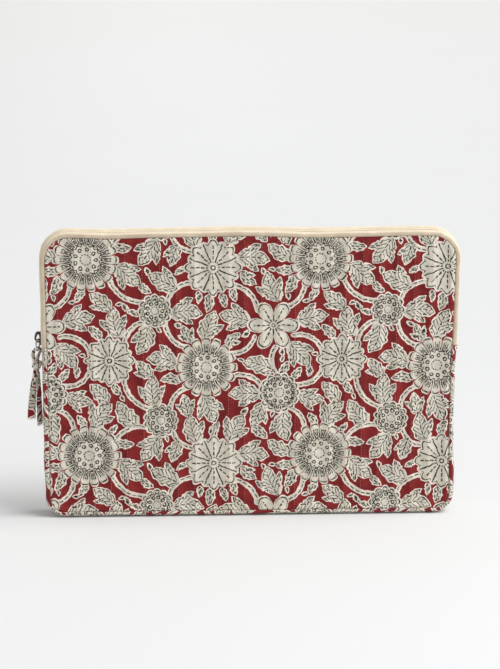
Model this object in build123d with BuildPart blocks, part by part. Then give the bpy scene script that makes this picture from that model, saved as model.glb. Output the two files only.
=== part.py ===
"""Padded laptop sleeve with a zip over its top and part of the way down both sides.

The sleeve stands on its long bottom edge. X runs along its width, Y through it from the
front (-Y) to the back (+Y), and Z is up. The origin is the centre of the flat base.
Everything is in millimetres. "Out" is the distance beyond the left side, x = -SIDE_X.
"""
from build123d import *
import os

# The filled sleeve
WIDTH = 380
HEIGHT = 265
DEPTH = 30
TOP_CORNER_R = 26
BOTTOM_CORNER_R = 19
ROLL_R = 5  # the band rolls this far over the front and back

# Cloth layers, from the outside in: how deep each starts and how thick it is
COVER_T = 1.0
PADDING_T = 2.4
LINING_T = 0.8
SKIN_T = COVER_T + PADDING_T + LINING_T
LAYERS = {
    "cover": (0, COVER_T),
    "padding": (COVER_T, PADDING_T),
    "lining": (COVER_T + PADDING_T, LINING_T),
}
BINDING_T = 0.8
BINDING_W = 5

# Zip
ZIP_END_Z = 158
TAPE_T = 1.6
ROW_INNER_Y = 0.6  # from the middle plane to a row of teeth
ROW_OUTER_Y = 3.0  # and to its sewn edge
ROW_DEPTH = 0.6  # the rows lie this far under the tape's outer face
ROW_T = 2.6
STOP_H = 2.2
STOP_GAP = 0.2
ROW_END_Z = ZIP_END_Z + STOP_H + 2 * STOP_GAP
END_TAB_W = 16
END_TAB_H = 9
END_TAB_LAP = 1

# The line where the opened front folds forward, just above the parked slider
FOLD_Z = 179
FOLD_HALF_H = 2.5
FOLD_BOTTOM = FOLD_Z - FOLD_HALF_H
FOLD_TOP = FOLD_Z + FOLD_HALF_H

# Slider: two plates over and under the rows, joined by a thin web between the rows
SLIDER_Z = 161
SLIDER_L = 12
SLIDER_W = 9
SLIDER_TAIL_W = 7.4
PLATE_T = 1.5
PLATE_R = 1.2
PLATE_CLEARANCE = 0.4
INNER_PLATE_DEPTH = 3.9
WEB_T = 0.6
WEB_L = 4
FLANGE_T = 0.9
FLANGE_H = 1.5
FLANGE_L = 4
BAIL_Z = 163
BAIL_W = 2.4
BAIL_T = 1.2
BAIL_L = 8
BAIL_H = 4.6
BAIL_R = 2

# Pull ring of flat-faced wire, hanging from the bail
WIRE_T = 1.6
RING_W = 8  # between the centres of the side bars
RING_H = 9.5  # between the centres of the end bars
RING_R = 2
RING_OUT = 4.2
RING_GAP = 0.3
RING_TOP_Z = BAIL_Z + BAIL_T + WIRE_T / 2 + RING_GAP
RING_BOTTOM_Z = RING_TOP_Z - RING_H

# Strip of cloth, doubled through the ring and knotted
STRIP_T = 1.2
STRIP_W = 5.6
LOOP_R = WIRE_T / 2 + 0.4
KNOT_Z = 139.7
KNOT_W = 9
KNOT_T = 6.6
KNOT_H = 7.6
KNOT_R = 2.4
TAIL_W = 8
TAIL_T = 1.4
TAILS = [(5.4, 11.5, 88), (3.2, 2.6, 83)]  # out at the knot, out at the end, end height

SIDE_X = WIDTH / 2
HANG_X = -SIDE_X - RING_OUT
BAIL_X = -SIDE_X - PLATE_CLEARANCE - PLATE_T
FACE_Y = DEPTH / 2
FRONT_FACE = Plane.XZ.offset(FACE_Y)
BACK_FACE = Plane.XZ.offset(-FACE_Y)
OUTER_PLATE = Plane.YZ.offset(-SIDE_X - PLATE_CLEARANCE)
INNER_PLATE = Plane.YZ.offset(-SIDE_X + INNER_PLATE_DEPTH)
HANG_PLANE = Plane.YZ.offset(HANG_X)


def outline(inset):
    """The sleeve seen from the front, drawn in by inset on every side."""
    with BuildSketch() as sketch:
        with Locations((0, HEIGHT / 2)):
            Rectangle(WIDTH - 2 * inset, HEIGHT - 2 * inset)
        fillet(sketch.vertices().group_by(Axis.Y)[-1], TOP_CORNER_R - inset)
        fillet(sketch.vertices().group_by(Axis.Y)[0], BOTTOM_CORNER_R - inset)
    return sketch.sketch


def block(inset):
    """The whole filled sleeve as one block with rolled edges, drawn in by inset."""
    with BuildPart() as solid:
        with BuildSketch(Plane.XZ):
            add(outline(inset))
        extrude(amount=FACE_Y - inset, both=True)
        fillet(solid.faces().filter_by(Axis.Y).edges(), ROLL_R - inset)
    return solid.part


def band(depth, thickness):
    """One layer of the band between the front and back panels, all the way round."""
    with BuildPart() as ring:
        add(block(depth))
        add(block(depth + thickness), mode=Mode.SUBTRACT)
        with BuildSketch(Plane.XZ):
            add(outline(ROLL_R))
        extrude(amount=FACE_Y, both=True, mode=Mode.SUBTRACT)
    return ring.part


def panel(face, depth, thickness, inner_inset=None):
    """One layer of the front or back panel, or a rim of it as wide as inner_inset says."""
    inward = -1 if face is FRONT_FACE else 1
    with BuildPart() as plate:
        with BuildSketch(face.offset(inward * depth)):
            add(outline(ROLL_R))
            if inner_inset:
                add(outline(inner_inset), mode=Mode.SUBTRACT)
        extrude(amount=inward * thickness)
    return plate.part


def front_only():
    """Keep the front half of the zip, as far as the row's sewn edge."""
    split(bisect_by=Plane.XZ.offset(ROW_OUTER_Y), keep=Keep.TOP)


def above(height):
    split(bisect_by=Plane.XY.offset(height), keep=Keep.TOP)


def below(height):
    split(bisect_by=Plane.XY.offset(height), keep=Keep.BOTTOM)


def row(front):
    """One row of the coil, over the top and down both sides."""
    with BuildPart() as coil:
        with BuildSketch(Plane.XZ.offset(ROW_INNER_Y if front else -ROW_OUTER_Y)):
            add(outline(ROW_DEPTH))
            add(outline(ROW_DEPTH + ROW_T), mode=Mode.SUBTRACT)
        extrude(amount=ROW_OUTER_Y - ROW_INNER_Y)
        above(ROW_END_Z)
    return coil.part


def plate_outline():
    """One plate of the slider, in Y and Z: wide where the rows part, narrower above."""
    with BuildSketch() as sketch:
        with BuildLine():
            Polyline(
                (-SLIDER_W / 2, SLIDER_Z),
                (SLIDER_W / 2, SLIDER_Z),
                (SLIDER_W / 2, SLIDER_Z + SLIDER_L / 2),
                (SLIDER_TAIL_W / 2, SLIDER_Z + SLIDER_L),
                (-SLIDER_TAIL_W / 2, SLIDER_Z + SLIDER_L),
                (-SLIDER_W / 2, SLIDER_Z + SLIDER_L / 2),
                close=True,
            )
        make_face()
        fillet(sketch.vertices(), PLATE_R)
    return sketch.sketch


def save(builder, name):
    builder.part.label = name
    export_step(builder.part, f"parts/{name}.step")


os.makedirs("parts", exist_ok=True)

# Back panel and the band, layer by layer
for layer, (depth, thickness) in LAYERS.items():
    with BuildPart() as back_layer:
        add(panel(BACK_FACE, depth, thickness))
    save(back_layer, f"back_{layer}")

    with BuildPart() as gusset_layer:
        add(band(depth, thickness))
        below(ZIP_END_Z)
    save(gusset_layer, f"gusset_{layer}")

# Front panel: a fixed lower part and an upper part that folds forward
for layer, (depth, thickness) in LAYERS.items():
    with BuildPart() as front_lower:
        add(panel(FRONT_FACE, depth, thickness))
        below(FOLD_BOTTOM)
    save(front_lower, f"front_{layer}_lower")

    with BuildPart() as front_upper:
        add(panel(FRONT_FACE, depth, thickness))
        above(FOLD_TOP)
    save(front_upper, f"front_{layer}_upper")

with BuildPart() as front_panel_fold:
    add(panel(FRONT_FACE, 0, SKIN_T))
    above(FOLD_BOTTOM)
    below(FOLD_TOP)
save(front_panel_fold, "front_panel_fold")

# Binding tape over the raw edges, on the inner face of each panel
with BuildPart() as binding_back:
    add(panel(BACK_FACE, SKIN_T, BINDING_T, ROLL_R + BINDING_W))
save(binding_back, "binding_back")

with BuildPart() as binding_front_lower:
    add(panel(FRONT_FACE, SKIN_T, BINDING_T, ROLL_R + BINDING_W))
    below(FOLD_BOTTOM)
save(binding_front_lower, "binding_front_lower")

with BuildPart() as binding_front_upper:
    add(panel(FRONT_FACE, SKIN_T, BINDING_T, ROLL_R + BINDING_W))
    above(FOLD_TOP)
save(binding_front_upper, "binding_front_upper")

# Zip tapes
with BuildPart() as zip_tape_back:
    add(band(0, TAPE_T))
    split(bisect_by=Plane.XZ.offset(-ROW_OUTER_Y), keep=Keep.BOTTOM)
    above(ZIP_END_Z)
save(zip_tape_back, "zip_tape_back")

with BuildPart() as zip_tape_front:
    add(band(0, TAPE_T))
    front_only()
    above(FOLD_TOP)
save(zip_tape_front, "zip_tape_front")

with BuildPart() as zip_tape_front_fold:
    add(band(0, TAPE_T))
    front_only()
    above(FOLD_BOTTOM)
    below(FOLD_TOP)
save(zip_tape_front_fold, "zip_tape_front_fold")

with BuildPart() as zip_tape_front_ends:
    add(band(0, TAPE_T))
    front_only()
    above(ZIP_END_Z)
    below(FOLD_BOTTOM)
save(zip_tape_front_ends, "zip_tape_front_ends")

# Zip rows
with BuildPart() as zip_row_back:
    add(row(front=False))
save(zip_row_back, "zip_row_back")

with BuildPart() as zip_row_front:
    add(row(front=True))
    above(FOLD_TOP)
save(zip_row_front, "zip_row_front")

with BuildPart() as zip_row_front_fold:
    add(row(front=True))
    above(FOLD_BOTTOM)
    below(FOLD_TOP)
save(zip_row_front_fold, "zip_row_front_fold")

with BuildPart() as zip_row_front_ends:
    add(row(front=True))
    below(FOLD_BOTTOM)
save(zip_row_front_ends, "zip_row_front_ends")

# A stop between the tapes at each end of the zip, and a cloth tab behind each end
for name, side in {"zip_stop_left": -1, "zip_stop_right": 1}.items():
    with BuildPart() as zip_stop:
        stop_x = side * (SIDE_X - ROW_DEPTH - ROW_T / 2)
        with Locations((stop_x, 0, ZIP_END_Z + STOP_GAP + STOP_H / 2)):
            Box(ROW_T, 2 * ROW_OUTER_Y, STOP_H)
        fillet(zip_stop.edges().filter_by(Axis.Y), STOP_H / 4)
    save(zip_stop, name)

with BuildPart() as zip_end_tabs:
    tab_x = SIDE_X - SKIN_T - BINDING_T / 2
    with Locations((-tab_x, 0, ZIP_END_Z + END_TAB_LAP), (tab_x, 0, ZIP_END_Z + END_TAB_LAP)):
        Box(BINDING_T, END_TAB_W, END_TAB_H, align=(Align.CENTER, Align.CENTER, Align.MAX))
save(zip_end_tabs, "zip_end_tabs")

# Slider, parked at the low end of the left leg
with BuildPart() as zip_slider:
    with BuildSketch(OUTER_PLATE):
        add(plate_outline())
    extrude(amount=-PLATE_T)
    with BuildSketch(INNER_PLATE):
        add(plate_outline())
    extrude(amount=PLATE_T)
    with BuildSketch(OUTER_PLATE):
        with Locations((0, SLIDER_Z + WEB_L / 2)):
            Rectangle(WEB_T, WEB_L)
    extrude(amount=PLATE_CLEARANCE + INNER_PLATE_DEPTH)
    with BuildSketch(INNER_PLATE):
        with Locations((0, SLIDER_Z + PLATE_R)):
            with GridLocations(SLIDER_W - FLANGE_T, 0, 2, 1):
                Rectangle(FLANGE_T, FLANGE_L, align=(Align.CENTER, Align.MIN))
    extrude(amount=-FLANGE_H)
save(zip_slider, "zip_slider")

with BuildPart() as zip_slider_bail:
    with BuildSketch(Plane.XZ) as bail_side:
        with Locations((BAIL_X, BAIL_Z)):
            Rectangle(BAIL_H, BAIL_L, align=(Align.MAX, Align.MIN))
        fillet(bail_side.vertices().group_by(Axis.X)[0], BAIL_R)
        with Locations((BAIL_X, BAIL_Z + BAIL_T)):
            Rectangle(
                BAIL_H - BAIL_T, BAIL_L - 2 * BAIL_T, align=(Align.MAX, Align.MIN), mode=Mode.SUBTRACT
            )
    extrude(amount=BAIL_W / 2, both=True)
save(zip_slider_bail, "zip_slider_bail")

with BuildPart() as zip_pull_ring:
    with BuildSketch(HANG_PLANE):
        with Locations((0, (RING_TOP_Z + RING_BOTTOM_Z) / 2)):
            RectangleRounded(RING_W + WIRE_T, RING_H + WIRE_T, RING_R)
            RectangleRounded(RING_W - WIRE_T, RING_H - WIRE_T, RING_R / 2, mode=Mode.SUBTRACT)
    extrude(amount=WIRE_T / 2, both=True)
    fillet(zip_pull_ring.edges().filter_by(HANG_PLANE.offset(WIRE_T / 2)), WIRE_T / 4)
save(zip_pull_ring, "zip_pull_ring")

# The knotted strip: a loop round the ring's lower bar, a knot, and two tails
with BuildPart() as pull_knot:
    with Locations((HANG_X, 0, KNOT_Z)):
        Box(KNOT_T, KNOT_W, KNOT_H)
    fillet(pull_knot.edges(), KNOT_R)
save(pull_knot, "pull_knot")

with BuildPart() as pull_strip:
    with BuildSketch(Plane.XZ):
        for radius, mode in ((LOOP_R + STRIP_T, Mode.ADD), (LOOP_R, Mode.SUBTRACT)):
            with Locations((HANG_X, RING_BOTTOM_Z)):
                Circle(radius, mode=mode)
                Rectangle(
                    2 * radius, RING_BOTTOM_Z - KNOT_Z, align=(Align.CENTER, Align.MAX), mode=mode
                )
    extrude(amount=STRIP_W / 2, both=True)
    for out_at_knot, out_at_end, end_z in TAILS:
        with BuildSketch(Plane.XZ):
            with BuildLine():
                Polyline(
                    (-SIDE_X - out_at_knot, KNOT_Z),
                    (-SIDE_X - out_at_end, end_z),
                    (-SIDE_X - out_at_end + TAIL_T, end_z),
                    (-SIDE_X - out_at_knot + TAIL_T, KNOT_Z),
                    close=True,
                )
            make_face()
        extrude(amount=TAIL_W / 2, both=True)
    add(pull_knot.part, mode=Mode.SUBTRACT)
save(pull_strip, "pull_strip")
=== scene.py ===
"""Quilted, block-printed laptop sleeve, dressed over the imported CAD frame.

Lengths are in millimetres until a mesh is made. X runs along the sleeve's width, Y from
its front (-Y) to its back (+Y), and Z is up. "Out" is the distance beyond the silhouette.
"""
import math

import bpy
import numpy as np
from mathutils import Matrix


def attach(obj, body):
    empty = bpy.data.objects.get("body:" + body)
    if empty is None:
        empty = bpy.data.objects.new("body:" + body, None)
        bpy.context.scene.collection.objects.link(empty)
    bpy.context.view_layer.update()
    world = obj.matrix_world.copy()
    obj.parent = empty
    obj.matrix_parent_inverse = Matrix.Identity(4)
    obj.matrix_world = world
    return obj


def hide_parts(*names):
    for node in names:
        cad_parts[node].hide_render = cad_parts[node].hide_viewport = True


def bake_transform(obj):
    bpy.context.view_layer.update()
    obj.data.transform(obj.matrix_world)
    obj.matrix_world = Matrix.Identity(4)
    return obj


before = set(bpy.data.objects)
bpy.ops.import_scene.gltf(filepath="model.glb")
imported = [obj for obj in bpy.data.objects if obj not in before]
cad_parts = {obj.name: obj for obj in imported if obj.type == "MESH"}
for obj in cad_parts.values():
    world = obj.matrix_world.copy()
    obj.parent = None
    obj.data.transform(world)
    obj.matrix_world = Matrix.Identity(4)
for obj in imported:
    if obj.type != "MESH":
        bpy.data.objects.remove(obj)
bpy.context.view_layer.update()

MM = 0.001
TAU = 2 * math.pi
LINE_GAIN = 1.5  # the weight of the dark drawing

# The sleeve's outline, and its seams measured inwards from that
SIDE_X = 190.0
TOP_Z = 265.0
TOP_CORNER = 26.0
BOTTOM_CORNER = 19.0
SEAM_INSET = 5.0  # the seams between the panels and the band run this far in
ZIP_END_Z = 158.0
ROW_END_Z = 160.6
FRONT_Y = 15.0
SEAM_Y = 12.5  # the covers dive this deep into their seams
PANEL_INNER_Y = 11.7

# Quilting: upright lines of running stitch
QUILT_PITCH = 15.4
QUILT_START = -174.6
QUILT_COUNT = 24
QUILT_X = QUILT_START + QUILT_PITCH * np.arange(QUILT_COUNT)


# ---- The print -------------------------------------------------------------------------
# Every formula of the print is written once, in plain operators, and is worked out either
# by numpy, to place the motifs, or by shader nodes, to draw them.
NUMPY_OPS = {
    "ADD": np.add, "SUBTRACT": np.subtract, "MULTIPLY": np.multiply, "DIVIDE": np.divide,
    "SINE": np.sin, "COSINE": np.cos, "ABSOLUTE": np.abs, "ROUND": np.round,
    "POWER": np.power, "SQRT": np.sqrt, "ARCTAN2": np.arctan2,
    "MINIMUM": np.minimum, "MAXIMUM": np.maximum,
    "LESS_THAN": lambda a, b: (a < b) * 1.0, "GREATER_THAN": lambda a, b: (a > b) * 1.0,
}


class Value:
    """A number that varies over a surface: the output socket of a shader node."""

    def __init__(self, tree, socket):
        self.tree = tree
        self.socket = socket

    def __add__(self, other):
        return work("ADD", self, other)

    def __radd__(self, other):
        return work("ADD", other, self)

    def __sub__(self, other):
        return work("SUBTRACT", self, other)

    def __rsub__(self, other):
        return work("SUBTRACT", other, self)

    def __mul__(self, other):
        return work("MULTIPLY", self, other)

    def __rmul__(self, other):
        return work("MULTIPLY", other, self)

    def __truediv__(self, other):
        return work("DIVIDE", self, other)


def work(operation, *terms):
    """One operation, as a Math node if any term is a Value and with numpy otherwise."""
    trees = [t.tree for t in terms if isinstance(t, Value)]
    if not trees:
        return NUMPY_OPS[operation](*terms)
    node = trees[0].nodes.new("ShaderNodeMath")
    node.operation = operation
    for term, socket in zip(terms, node.inputs):
        if isinstance(term, Value):
            trees[0].links.new(term.socket, socket)
        else:
            socket.default_value = term
    return Value(trees[0], node.outputs[0])


def below(value, limit):
    return work("LESS_THAN", value, limit)


def over(value, limit):
    return work("GREATER_THAN", value, limit)


def line(distance, half_width):
    """1 on a drawn line, 0 off it."""
    return below(work("ABSOLUTE", distance), half_width * LINE_GAIN)


def wave(value, period):
    """Distance to the nearest multiple of period."""
    turns = value / period
    return work("ABSOLUTE", turns - work("ROUND", turns)) * period


def length_of(x, y):
    return work("SQRT", x * x + y * y)


def bloom_form(x, y, size, petals, notch, point, second):
    """How far inside a flower a point is, its radius, and its place across a petal."""
    radius = length_of(x, y)
    turns = work("ARCTAN2", y, x) * petals / TAU
    across = work("ABSOLUTE", turns - work("ROUND", turns)) * 2
    main = size * (1 - notch * work("POWER", across, point))
    between = size * second * (1 - notch * 0.8 * work("POWER", 1 - across, point))
    return work("MAXIMUM", main, between) - radius, radius, across


def bloom_lines(inside, radius, across, turn, size, petals, ring, hatch):
    """The dark drawing on a flower."""
    half_petal = radius * math.pi / petals
    middle = across * half_petal
    side = (1 - across) * half_petal
    tip = line(inside - 2.1, 0.42) * below(across, 0.72)
    outer = over(radius, size * ring + 0.6) * over(inside, 2.2)
    rib = line(middle, 0.42) * below(wave(radius, 4.6), 1.75) * over(inside, size * 0.24)
    strokes = line(middle - half_petal * 0.42, 0.30) * over(inside, size * 0.22)
    split = line(side, 0.42) * over(inside, 1.4)
    ring_edge = line(radius - size * ring * (1.06 - 0.16 * across), 0.42)
    in_ring = below(radius, size * ring - 0.8)
    spots = work("ARCTAN2", work("SINE", turn * 9), work("COSINE", turn * 9)) / 9
    spot = length_of(radius - size * ring * 0.68, spots * size * ring * 0.68)
    circle = line(spot - 1.35, 0.40) * in_ring
    eye = line(radius - size * ring * 0.34, 0.32) * below(wave(turn, TAU / 11), 0.19)
    outside = outer * (1 - (1 - rib) * (1 - split) * (1 - strokes * hatch))
    inner = hatch * (1 - (1 - circle) * (1 - eye)) + (1 - hatch) * in_ring * line(radius - 1.9, 0.4)
    return work("MINIMUM", tip + outside + ring_edge * hatch + inner, 1)


def leaf_form(x, y, length, width, bend):
    """How far inside a leaf a point is, its place along it, and its distance to the rib."""
    along = x / length
    off = y - bend * length * along * along
    back = work("MAXIMUM", 1 + along, 0.0001)
    front = work("MAXIMUM", 1 - along, 0.0001)
    profile = work("POWER", back, 0.55) * work("POWER", front, 0.80)
    scallop = 1 + 0.09 * work("COSINE", along * 10.5)
    half = length * width * profile * scallop
    past = work("MAXIMUM", work("ABSOLUTE", along) - 1, 0) * length
    return (half - work("ABSOLUTE", off)) * 0.86 - past, along, off


def leaf_lines(inside, along, off, length):
    """The dark drawing on a leaf: a rib, broken veins and a broken outline."""
    x = along * length
    rib = line(off, 0.38) * below(wave(x, 5.2), 2.0) * below(along, 0.62)
    slant = x - work("ABSOLUTE", off) * 1.1
    veins = line(wave(slant, 4.4), 0.36) * over(work("ABSOLUTE", off), 1.2) * over(inside, 1.9)
    outline = line(inside - 1.5, 0.36) * below(wave(x + off, 6.1), 1.9)
    return work("MINIMUM", rib + veins + outline, 1)


def stem_form(x, y, radius, half_angle, width):
    """How far inside a curved stem a point is, and its place along and across it."""
    reach = length_of(x, y)
    angle = work("ARCTAN2", y, x)
    past = work("MAXIMUM", work("ABSOLUTE", angle) - half_angle, 0) * radius
    across = reach - radius
    return width - length_of(across, past), angle * radius, across


def stem_lines(along, across):
    return line(across - 0.5, 0.34) * below(wave(along, 5.4), 1.9)


TILE_W = 212
TILE_H = 182
# size, petals, notch, point, second ring, inner ring, hatched
BLOOM_KINDS = [
    (30, 18, 0.3, 5.0, 0.0, 0.46, 1),
    (28.5, 16, 0.32, 5.0, 0.0, 0.48, 1),
    (27, 8, 0.42, 1.6, 0.92, 0.15, 0),
    (24, 8, 0.4, 1.5, 0.92, 0.16, 0),
    (24, 6, 0.56, 2.2, 0.0, 0.12, 0),
    (19.5, 15, 0.1, 2.0, 0.0, 0.62, 1),
    (16.5, 13, 0.12, 2.0, 0.0, 0.66, 1),
    (16, 12, 0.12, 2.0, 0.0, 0.64, 1),
]
BLOOM_SEED = 303
BLOOM_TRIES = 600
STEM_REACH = 34  # flowers with a wider gap than this aren't joined
STEM_INSET = 0.85  # a stem starts at this share of its flower's radius
STEM_BULGE = 0.18
STEM_HALF_W = 2.4


def arc_of(x0, y0, x1, y1, bulge):
    """Centre, radius, middle direction and half angle of the arc between two points."""
    chord = math.hypot(x1 - x0, y1 - y0)
    rise = max(abs(bulge), 0.02) * chord
    radius = (chord * chord / 4 + rise * rise) / (2 * rise)
    side = 1 if bulge > 0 else -1
    nx, ny = -(y1 - y0) / chord * side, (x1 - x0) / chord * side
    cx = (x0 + x1) / 2 - nx * (radius - rise)
    cy = (y0 + y1) / 2 - ny * (radius - rise)
    return cx, cy, radius, math.atan2(ny, nx), math.asin(min(1, chord / 2 / radius))


def wrapped(u, v, x, y):
    """Place relative to the nearest repeat of a point of the tile."""
    return ((u - x + TILE_W / 2) % TILE_W - TILE_W / 2, (v - y + TILE_H / 2) % TILE_H - TILE_H / 2)


def turned(x, y, angle):
    c, s = np.cos(angle), np.sin(angle)
    return x * c + y * s, y * c - x * s


def place_blooms(rng):
    """Flowers set about the tile, each where the most room is left."""
    blooms = []
    for kind in BLOOM_KINDS:
        u, v = rng.uniform(0, 1, (2, BLOOM_TRIES)) * [[TILE_W], [TILE_H]]
        room = np.full(BLOOM_TRIES, 1e3)
        for x, y, size, *_ in blooms:
            room = np.minimum(room, np.hypot(*wrapped(u, v, x, y)) - size)
        best = np.argmax(room)
        blooms.append((float(u[best]), float(v[best])) + kind)
    return blooms


def join_blooms(blooms):
    """Stems from each flower to its nearest neighbours: ends, bulge and half width."""
    stems = []
    for i, (x, y, size, *_) in enumerate(blooms):
        for j in range(i + 1, len(blooms)):
            dx, dy = wrapped(blooms[j][0], blooms[j][1], x, y)
            apart = math.hypot(dx, dy)
            if apart - size - blooms[j][2] > STEM_REACH:
                continue
            near = STEM_INSET * size / apart
            far = 1 - STEM_INSET * blooms[j][2] / apart
            bulge = STEM_BULGE * (-1) ** (i + j)
            ends = (x + dx * near, y + dy * near, x + dx * far, y + dy * far)
            stems.append(ends + (bulge, STEM_HALF_W))
    return stems


def stem_place(u, v, stem):
    """Place in a stem's own frame, from the centre of its arc."""
    x0, y0, x1, y1, bulge, _ = stem
    cx, cy, radius, angle, _ = arc_of(x0, y0, x1, y1, bulge)
    mx, my = cx + radius * math.cos(angle), cy + radius * math.sin(angle)
    x, y = turned(*wrapped(u, v, mx, my), angle)
    return x + radius, y


def stem_inside(u, v, stem):
    _, _, radius, _, half = arc_of(*stem[:5])
    x, y = stem_place(u, v, stem)
    return stem_form(x, y, radius, half, stem[5])[0]


def bloom_inside(u, v, bloom):
    x, y, size, petals, notch, point, second = bloom[:7]
    return bloom_form(*wrapped(u, v, x, y), size, petals, notch, point, second)[0]


def leaf_inside(u, v, leaf):
    x, y, angle, length, width, bend = leaf
    return leaf_form(*turned(*wrapped(u, v, x, y), angle), length, width, bend)[0]


GAP = 0.75  # clear ground between motifs
# half length, and half width as a share of it; sizes listed twice are tried twice
LEAF_SIZES = [
    (15, 0.56), (12.5, 0.56), (12.5, 0.56), (11, 0.58), (11, 0.58), (9.5, 0.52),
    (8.5, 0.54), (7, 0.55), (6, 0.52), (5, 0.55), (4.2, 0.6), (3.4, 0.62),
]
SIDE_LOBES = ((0.95, 0.60), (-0.95, 0.60))  # angle from the main lobe, share of its length
TIP_LEANS = (0, 0.7, -0.7, 1.3, -1.3)
LEANS = (0.6, -0.6, 1.1, -1.1, 2.2, -2.2)


def leaf_roots():
    """Places and directions that a leaf can spring from, on the stems and the flowers."""
    roots = []
    for stem in STEMS:
        cx, cy, radius, angle, half = arc_of(*stem[:5])
        for share in np.linspace(-0.97, 0.97, max(3, int(half * radius / 1.6))):
            a = angle + share * half
            x, y = cx + radius * math.cos(a), cy + radius * math.sin(a)
            roots += [(x, y, a + math.pi / 2 + lean) for lean in LEANS]
    for x, y, size, *_ in BLOOMS:
        for a in np.linspace(0, TAU, 30, endpoint=False):
            px, py = x + size * 0.93 * math.cos(a), y + size * 0.93 * math.sin(a)
            roots += [(px, py, a + lean) for lean in (0.5, -0.5, 0)]
    return roots


def lobe(x, y, angle, length, width, bend):
    """A leaf or lobe that starts at x, y."""
    reach = length * 0.92
    return (x + reach * math.cos(angle), y + reach * math.sin(angle), angle, length, width, bend)


def has_room(field, leaf):
    """Whether the outer part of a leaf is clear of everything drawn so far."""
    x, y, angle, length, width, bend = leaf
    for along in (-0.45, -0.1, 0.25, 0.6, 1.0 + GAP / length):
        half = length * width * (1.15 * (1 - max(along, 0) ** 2) + 0.05) + GAP
        for side in (-1, 0, 1):
            px, py = along * length, side * half + bend * length * along * along
            u = x + px * math.cos(angle) - py * math.sin(angle)
            v = y + px * math.sin(angle) + py * math.cos(angle)
            if field[int(v % TILE_H), int(u % TILE_W)] > -0.3:
                return False
    return True


def grow_leaves(rng):
    """Leaves that spring from stems and flowers wherever there is room, largest first."""
    us, vs = np.meshgrid(np.arange(0, TILE_W) + 0.5, np.arange(0, TILE_H) + 0.5)
    drawn = [stem_inside(us, vs, stem) for stem in STEMS]
    drawn += [bloom_inside(us, vs, bloom) for bloom in BLOOMS]
    field = np.max(drawn, axis=0)
    roots = leaf_roots()
    leaves = []
    for length, width in LEAF_SIZES:
        for k in rng.permutation(len(roots)):
            x, y, angle = roots[k]
            leaf = lobe(x, y, angle, length, width, rng.uniform(-0.25, 0.25))
            if not has_room(field, leaf):
                continue
            added = [leaf]
            for lean, share in SIDE_LOBES:
                root = (x + 0.5 * length * math.cos(angle), y + 0.5 * length * math.sin(angle))
                side = lobe(*root, angle + lean, length * share, 0.5, -0.3 * lean)
                if length > 9 and has_room(field, side):
                    added.append(side)
            leaves += added
            tip = (x + 1.8 * length * math.cos(angle), y + 1.8 * length * math.sin(angle))
            roots += [(*tip, angle + lean) for lean in TIP_LEANS]
            for each in added:
                field = np.maximum(field, leaf_inside(us, vs, each))
    return leaves


def nearest_motif(centres, motifs, place, form):
    """For each point, its place in the motif that it is deepest in, and which one that is."""
    best = np.full(len(centres), -np.inf)
    which = np.zeros(len(centres), int)
    where = np.zeros((len(centres), 2))
    for k, motif in enumerate(motifs):
        x, y = place(centres[:, 0], centres[:, 1], motif)
        inside = form(x, y, motif)
        better = inside > best
        best[better] = inside[better]
        which[better] = k
        where[better] = np.column_stack([x, y])[better]
    return which, where


def bloom_place(u, v, bloom):
    return wrapped(u, v, bloom[0], bloom[1])


def leaf_place(u, v, leaf):
    return turned(*wrapped(u, v, leaf[0], leaf[1]), leaf[2])


def print_cloth(piece, cloth):
    """Marks every face with the motifs that cover it; cloth is each point's place on the cloth."""
    mesh = piece.data
    corners = np.empty(len(mesh.loops), int)
    starts = np.empty(len(mesh.polygons), int)
    totals = np.empty(len(mesh.polygons), int)
    mesh.loops.foreach_get("vertex_index", corners)
    mesh.polygons.foreach_get("loop_start", starts)
    mesh.polygons.foreach_get("loop_total", totals)
    at_corners = np.asarray(cloth, float)[corners]
    centres = np.add.reduceat(at_corners, starts, axis=0) / totals[:, None]
    offsets = at_corners - np.repeat(centres, totals, axis=0)

    def store(name, *columns):
        values = np.zeros((len(corners), 3), np.float32)
        for k, column in enumerate(columns):
            values[:, k] = column
        attribute = mesh.attributes.new(name, "FLOAT_VECTOR", "CORNER")
        attribute.data.foreach_set("vector", values.ravel())

    def spread(values):
        return np.repeat(values, totals, axis=0)

    which, where = nearest_motif(
        centres, BLOOMS, bloom_place, lambda x, y, b: bloom_form(x, y, *b[2:7])[0]
    )
    blooms = np.array(BLOOMS)[which]
    where = spread(where) + offsets
    store("bloom_place", where[:, 0], where[:, 1], spread(blooms[:, 2]))
    store("bloom_shape", *spread(blooms[:, 3:6]).T)
    store("bloom_style", *spread(blooms[:, 6:9]).T)

    which, where = nearest_motif(
        centres, LEAVES, leaf_place, lambda x, y, leaf: leaf_form(x, y, *leaf[3:6])[0]
    )
    leaves = spread(np.array(LEAVES)[which])
    x, y = turned(offsets[:, 0], offsets[:, 1], leaves[:, 2])
    where = spread(where)
    store("leaf_place", where[:, 0] + x, where[:, 1] + y, leaves[:, 3])
    store("leaf_shape", leaves[:, 4], leaves[:, 5])

    arcs = np.array([arc_of(*stem[:5]) for stem in STEMS])
    which, where = nearest_motif(
        centres,
        STEMS,
        stem_place,
        lambda x, y, stem: stem_form(x, y, arc_of(*stem[:5])[2], arc_of(*stem[:5])[4], stem[5])[0],
    )
    arcs = spread(arcs[which])
    x, y = turned(offsets[:, 0], offsets[:, 1], arcs[:, 3])
    where = spread(where)
    store("stem_place", where[:, 0] + x, where[:, 1] + y, arcs[:, 2])
    store("stem_shape", arcs[:, 4], spread(np.array(STEMS)[which][:, 5]))
    store("cloth", at_corners[:, 0], at_corners[:, 1])


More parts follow.
